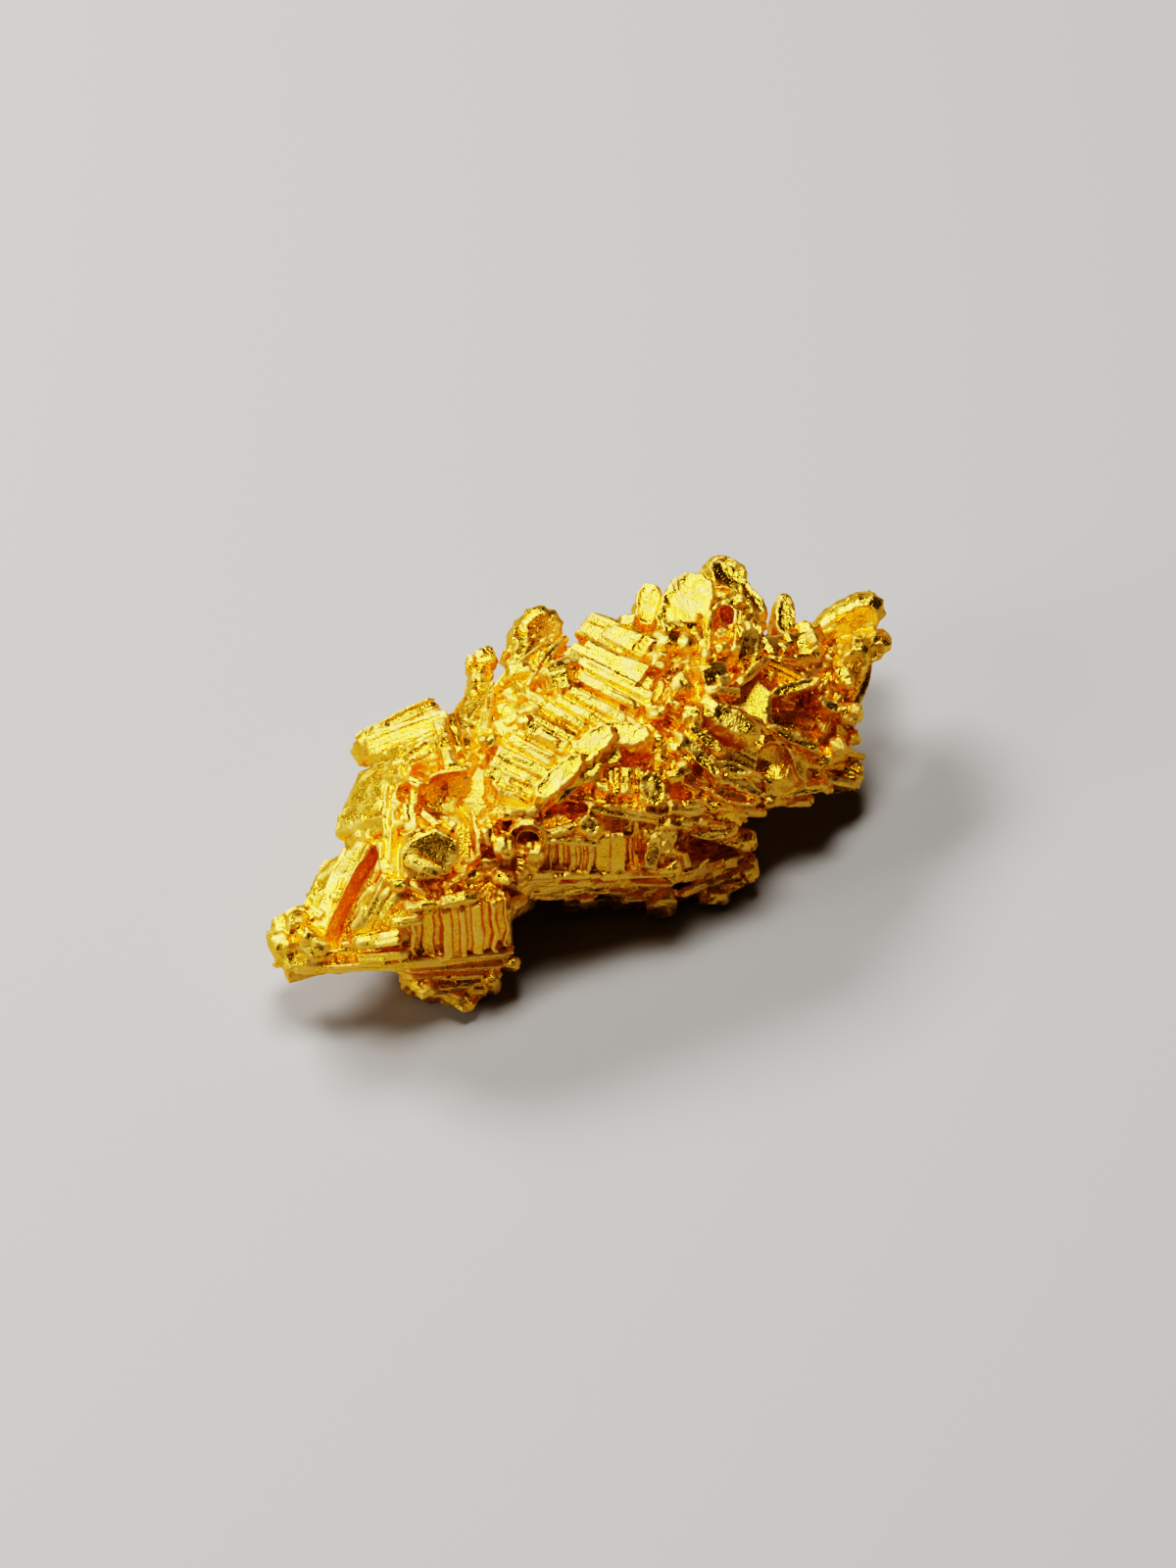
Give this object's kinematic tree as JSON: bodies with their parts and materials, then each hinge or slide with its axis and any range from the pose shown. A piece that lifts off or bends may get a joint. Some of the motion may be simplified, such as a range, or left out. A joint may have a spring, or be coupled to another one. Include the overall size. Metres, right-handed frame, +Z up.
{
  "type": "gold nugget",
  "caption": "Natural crystalline gold nugget: striated prisms, blades, fluted walls and blunt knobs grown together in one ragged piece that rests on its underside.",
  "frame": {"origin": "middle of the bounding box, on the surface the nugget rests on", "axes": "+X along the nugget, from its low pointed end to its tall spiky end; +Y to the back; +Z up, as it rests"},
  "size_m": [0.0271, 0.0112, 0.0089],
  "materials": {
    "gold": "native gold: frosted and grainy on the worn crests and rims, smooth and deeper orange in the hollows, finely striated on the prism faces"
  },
  "bodies": {
    "root": {"nugget": "gold"}
  },
  "joints": []
}
